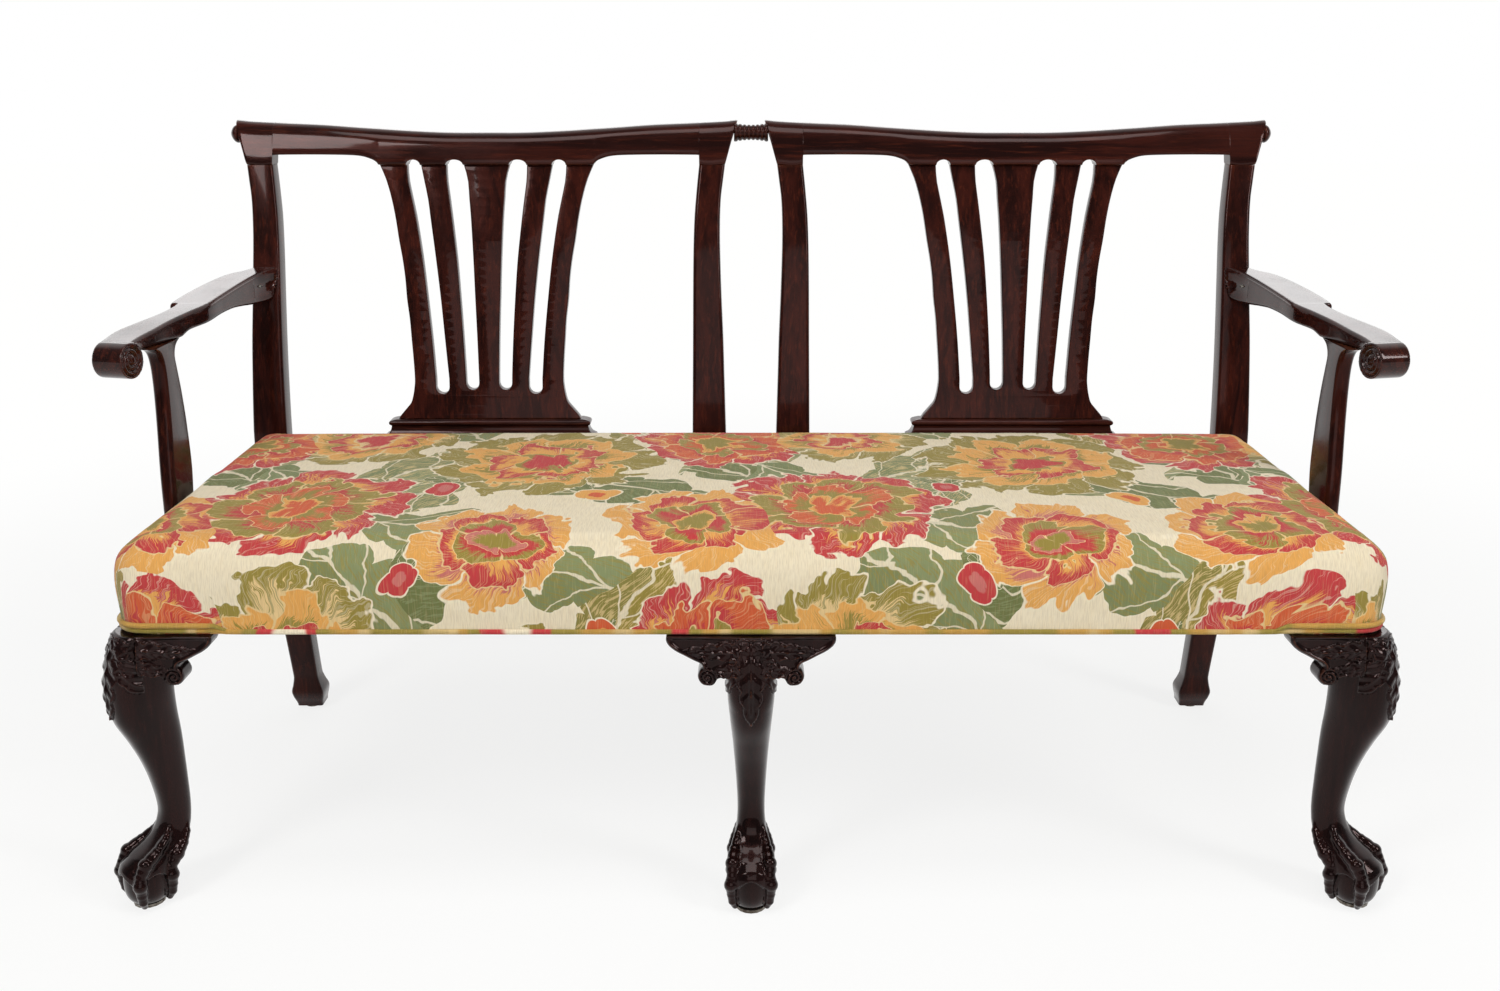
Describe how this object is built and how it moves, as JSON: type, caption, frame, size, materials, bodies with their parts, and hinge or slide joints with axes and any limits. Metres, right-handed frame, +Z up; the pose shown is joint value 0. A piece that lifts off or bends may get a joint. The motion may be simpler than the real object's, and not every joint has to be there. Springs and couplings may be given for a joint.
{
  "type": "double chair-back settee",
  "caption": "Open-armed settee with pierced splat chair backs, scrolled arms, a floral upholstered seat and carved cabriole front legs on claw-and-ball feet.",
  "frame": {"origin": "middle of the bounding box at floor level", "axes": "+X towards the sitter's right as seen from the front, +Y from the front rail to the back, +Z up"},
  "size_m": [1.652, 0.6814, 0.917],
  "materials": {
    "mahogany": "french polished, glossy",
    "dark_mahogany": "waxed and worn on the claws",
    "frame_beech": "bare",
    "screw_steel": "plain",
    "glide_nickel": "dull, worn",
    "jute_webbing": "woven",
    "cotton_wadding": "soft",
    "floral_fabric": "woven floral in cream, coral, gold and green",
    "floral_piping": "woven piping",
    "black_lining": "thin, matt"
  },
  "bodies": {
    "root": {"front_leg_left": "dark_mahogany", "front_leg_centre": "dark_mahogany", "front_leg_right": "dark_mahogany", "centre_knee_bracket_left": "dark_mahogany", "centre_knee_bracket_right": "dark_mahogany", "corner_front_bracket_left": "dark_mahogany", "corner_front_bracket_right": "dark_mahogany", "corner_side_bracket_left": "dark_mahogany", "corner_side_bracket_right": "dark_mahogany", "rear_post_left": "mahogany", "rear_post_right": "mahogany", "inner_stile_left": "mahogany", "inner_stile_right": "mahogany", "crest_rail_left": "mahogany", "crest_rail_right": "mahogany", "crest_boss_left": "mahogany", "crest_boss_right": "mahogany", "splat_left": "mahogany", "splat_right": "mahogany", "shoe_left": "mahogany", "shoe_right": "mahogany", "arm_left": "mahogany", "arm_right": "mahogany", "arm_support_left": "mahogany", "arm_support_right": "mahogany", "crest_spool": "mahogany", "front_rail_left": "frame_beech", "front_rail_right": "frame_beech", "side_rail_left": "frame_beech", "side_rail_right": "frame_beech", "front_corner_block_left": "frame_beech", "front_corner_block_right": "frame_beech", "rear_corner_block_left": "frame_beech", "rear_corner_block_right": "frame_beech", "rear_rail": "frame_beech", "cross_rail": "frame_beech", "front_block_screw_left": "screw_steel", "front_block_screw_right": "screw_steel", "rear_block_screw_left": "screw_steel", "rear_block_screw_right": "screw_steel", "arm_screw_left": "screw_steel", "arm_screw_right": "screw_steel", "lower_support_screw_left": "screw_steel", "lower_support_screw_right": "screw_steel", "upper_support_screw_left": "screw_steel", "upper_support_screw_right": "screw_steel", "front_glide_left": "glide_nickel", "front_glide_centre": "glide_nickel", "front_glide_right": "glide_nickel", "rear_glide_left": "glide_nickel", "rear_glide_right": "glide_nickel", "seat_webbing": "jute_webbing", "seat_stuffing": "cotton_wadding", "seat_cover": "floral_fabric", "seat_welt": "floral_piping", "knee_welt_left": "floral_piping", "knee_welt_right": "floral_piping", "dust_cloth": "black_lining"}
  },
  "joints": []
}
